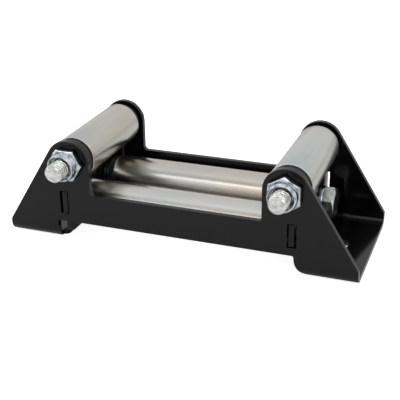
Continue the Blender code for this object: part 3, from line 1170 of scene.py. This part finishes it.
@dataclass(frozen=True)
class StudioCamera:
    """A camera where the photograph's was, worked out from the channel's corners."""

    azimuth: float = 20.597
    elevation: float = 24.443
    roll: float = -0.79
    distance: float = 818.99 * MM
    target: tuple[float, float, float] = (1.493 * MM, 8.5 * MM, 27.572 * MM)
    focal_pixels: float = 905.03
    image_pixels: float = 400.0
    sensor: float = 36.0
    nearest: float = 10.0 * MM

    def build(self) -> None:
        """Add the camera and make it the scene's."""
        azimuth, elevation, roll = map(math.radians, (self.azimuth, self.elevation, self.roll))
        level = math.cos(elevation)
        back = Vector((math.sin(azimuth) * level, -math.cos(azimuth) * level, math.sin(elevation)))
        right = Vector((math.cos(azimuth), math.sin(azimuth), 0.0))
        up = back.cross(right)
        rolled_right = right * math.cos(roll) + up * math.sin(roll)
        rolled_up = up * math.cos(roll) - right * math.sin(roll)
        data = bpy.data.cameras.new("studio_camera")
        data.sensor_width = self.sensor
        data.lens = self.focal_pixels / self.image_pixels * self.sensor
        data.clip_start = self.nearest
        camera = bpy.data.objects.new("studio_camera", data)
        bpy.context.scene.collection.objects.link(camera)
        turn = Matrix((rolled_right, rolled_up, back)).transposed().to_4x4()
        camera.matrix_world = Matrix.Translation(Vector(self.target) + back * self.distance) @ turn
        bpy.context.scene.camera = camera


@dataclass(frozen=True)
class Lamp:
    """A soft box, aimed at the object. It lights the object but isn't mirrored in it."""

    name: str
    place: tuple[float, float, float]
    size: float
    power: float

    def build(self, target: Vector) -> None:
        """Hang the soft box and aim it.

        Args:
            target: What it is aimed at.
        """
        data = bpy.data.lights.new(self.name, "AREA")
        data.shape = "SQUARE"
        data.size = self.size
        data.energy = self.power
        lamp = bpy.data.objects.new(self.name, data)
        bpy.context.scene.collection.objects.link(lamp)
        lamp.location = self.place
        lamp.rotation_euler = (target - Vector(self.place)).to_track_quat("-Z", "Y").to_euler()
        lamp.visible_glossy = False


@dataclass(frozen=True)
class Studio:
    """A white sweep with soft boxes, the brightest of them a strip above the front."""

    floor_size: float = 6.0
    floor_drop: float = 0.2 * MM
    floor_colour: str = "#f4f4f4"
    floor_roughness: float = 0.9
    floor_glow: float = 0.96
    floor_mirror_glow: float = 0.135
    ambient: float = 0.42
    aim_height: float = 40.0 * MM
    lamps: tuple[Lamp, ...] = (
        Lamp("key_box", (-0.7, -0.5, 1.3), 1.0, 9.0),
        Lamp("fill_box", (1.2, -0.7, 0.8), 0.8, 4.0),
    )
    # Each pair is an angle in degrees from straight up, positive towards the front, and how bright
    # the studio looks in a mirror there, all along the channel's length, as with a long strip box
    sky: tuple[tuple[float, float], ...] = (
        (-120.0, 0.84),
        (-70.0, 0.80),
        (-12.0, 0.98),
        (-4.0, 0.95),
        (2.0, 1.25),
        (10.0, 1.0),
        (21.0, 0.85),
        (26.0, 0.45),
        (30.0, 0.5),
        (34.0, 1.1),
        (39.0, 1.3),
        (40.0, 4.5),
        (42.0, 4.5),
        (43.0, 1.4),
        (55.0, 1.2),
        (64.0, 0.95),
        (74.0, 0.5),
        (120.0, 0.4),
    )

    def build(self) -> None:
        """Set the floor, the world and the lamps."""
        self.lay_floor()
        self.light_world()
        for lamp in self.lamps:
            lamp.build(Vector((0.0, 0.0, self.aim_height)))
        bpy.context.scene.view_settings.view_transform = "Standard"

    @staticmethod
    def in_mirror(tree: bpy.types.NodeTree, path: bpy.types.Node) -> bpy.types.NodeSocket:
        """Tell whether the ray comes from a shiny or a clear surface.

        Args:
            tree: The node tree.
            path: Its Light Path node.

        Returns:
            The output that is 1 for such a ray and 0 for others.
        """
        rays = {0: path.outputs["Is Glossy Ray"], 1: path.outputs["Is Transmission Ray"]}
        return add_node(tree, "ShaderNodeMath", {"operation": "MAXIMUM"}, rays).outputs["Value"]

    def lay_floor(self) -> None:
        """Lay a pale floor that looks white and still takes a soft shadow."""
        bpy.ops.object.select_all(action="DESELECT")
        bpy.ops.mesh.primitive_plane_add(size=self.floor_size, location=(0.0, 0.0, -self.floor_drop))
        floor = bpy.context.active_object
        floor.name = "studio_floor"
        material, tree, shader = new_material("white_sweep")
        shader.inputs["Base Color"].default_value = linear(self.floor_colour)
        shader.inputs["Roughness"].default_value = self.floor_roughness
        shader.inputs["Specular IOR Level"].default_value = 0.0
        path = add_node(tree, "ShaderNodeLightPath")
        mirrored = add_node(
            tree,
            "ShaderNodeMath",
            {"operation": "MULTIPLY", 1: self.floor_mirror_glow},
            {0: self.in_mirror(tree, path)},
        )
        glow = add_node(
            tree,
            "ShaderNodeMath",
            {"operation": "MULTIPLY_ADD", 1: self.floor_glow},
            {0: path.outputs["Is Camera Ray"], 2: mirrored.outputs["Value"]},
        )
        shader.inputs["Emission Color"].default_value = linear(self.floor_colour)
        tree.links.new(glow.outputs["Value"], shader.inputs["Emission Strength"])
        floor.data.materials.append(material)

    def light_world(self) -> None:
        """Light from all round: plain white to the camera, and the soft boxes in a mirror."""
        world = bpy.data.worlds.new("studio_world")
        bpy.context.scene.world = world
        world.use_nodes = True
        tree = world.node_tree
        path = add_node(tree, "ShaderNodeLightPath")
        plain = add_node(
            tree,
            "ShaderNodeMapRange",
            {"To Min": self.ambient, "To Max": 1.0},
            {"Value": path.outputs["Is Camera Ray"]},
        )
        strength = add_node(
            tree,
            "ShaderNodeMix",
            {"data_type": "FLOAT"},
            {0: self.in_mirror(tree, path), 2: plain.outputs["Result"], 3: self.sky_strength(tree)},
        )
        background = tree.nodes["Background"]
        background.inputs["Color"].default_value = (1.0, 1.0, 1.0, 1.0)
        tree.links.new(strength.outputs[0], background.inputs["Strength"])

    def sky_strength(self, tree: bpy.types.NodeTree) -> bpy.types.NodeSocket:
        """Work out the soft boxes' brightness in the direction that a ray takes.

        Args:
            tree: The world's node tree.

        Returns:
            The output that holds the brightness.
        """
        ray = add_node(tree, "ShaderNodeTexCoord").outputs["Generated"]
        axes = add_node(tree, "ShaderNodeSeparateXYZ", None, {0: ray}).outputs
        front = add_node(tree, "ShaderNodeMath", {"operation": "MULTIPLY", 1: -1.0}, {0: axes["Y"]})
        sides = {0: front.outputs["Value"], 1: axes["Z"]}
        turn = add_node(tree, "ShaderNodeMath", {"operation": "ARCTAN2"}, sides)
        share = add_node(
            tree,
            "ShaderNodeMapRange",
            {"From Min": -math.pi, "From Max": math.pi},
            {"Value": turn.outputs["Value"]},
        )
        tones = add_node(tree, "ShaderNodeValToRGB", None, {"Fac": share.outputs["Result"]})
        brightest = max(strength for _, strength in self.sky)
        shares = [((angle + 180.0) / 360.0, strength / brightest) for angle, strength in self.sky]
        fill_ramp(tones.color_ramp, [(place, (tone, tone, tone, 1.0)) for place, tone in shares])
        scaled = add_node(
            tree,
            "ShaderNodeMath",
            {"operation": "MULTIPLY", 1: brightest},
            {0: tones.outputs["Color"]},
        )
        return scaled.outputs["Value"]


def painted_sheets() -> tuple[PaintedSheet, ...]:
    """List the sheets: the channel, with its web's corners rounded, and the cross plates.

    Returns:
        The sheets in the order that they are built.
    """
    lines = (NEAR_BEND_LINE, FAR_BEND_LINE)
    left = [Corner(-WEB_END, line, LEFT_WEB_ROUND) for line in lines]
    right = [Corner(WEB_END, line, RIGHT_WEB_ROUND) for line in lines]
    return (
        PaintedSheet("channel_frame", (*left, *right)),
        PaintedSheet("left_cross_plate"),
        PaintedSheet("right_cross_plate"),
    )


def roller_stations(supplies: Supplies) -> tuple[Station, ...]:
    """List the four roller stations, with the turns of their hexagons and the tints of their zinc.

    Args:
        supplies: What they share.

    Returns:
        The stations in the order that they are built.
    """
    long_way = (Direction.ALONG_CHANNEL, "left", "right")
    short_way = (Direction.ACROSS_CHANNEL, "near", "far")
    # Each list is the plating's pale, cool and warm tint
    neutral = ("#c8c7c3", "#bdc1c0", "#c6b9ac")
    rosy = ("#c3bdb5", "#b8b9b6", "#c6b19f")
    warm = ("#c5c2ba", "#b9bbb8", "#c0baad")
    cool = ("#c8cac7", "#b9c1c0", "#c4c1b9")
    return (
        Station("near_long", *long_way, nut_turn=20.0, head_turn=40.0, tints=neutral, supplies=supplies),
        Station("far_long", *long_way, nut_turn=20.0, head_turn=-4.0, tints=rosy, supplies=supplies),
        Station("left_short", *short_way, nut_turn=-1.0, head_turn=10.0, tints=warm, supplies=supplies),
        Station("right_short", *short_way, nut_turn=30.0, head_turn=10.0, tints=cool, supplies=supplies),
    )


def main() -> None:
    """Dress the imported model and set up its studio."""
    logging.basicConfig(level=logging.INFO, format="%(name)s: %(message)s")
    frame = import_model()
    StudioCamera().build()
    Studio().build()
    enamel = GlossEnamel().material()
    for sheet in painted_sheets():
        sheet.dress(frame["nodes"], enamel)
    supplies = Supplies(
        shelf=Shelf(),
        nylon=MouldedNylon().material(),
        nut_zinc=BrightZinc("blue_bright_zinc", "#d8dee4", "#808a95", (0.078, 0.208)).material(),
        bolt_zinc=BrightZinc("pale_passivated_zinc", "#e9eae6", "#b2b5b3", (0.12, 0.32)).material(),
    )
    for station in roller_stations(supplies):
        station.dress()
    supplies.shelf.clear()


if __name__ == "__main__":
    main()
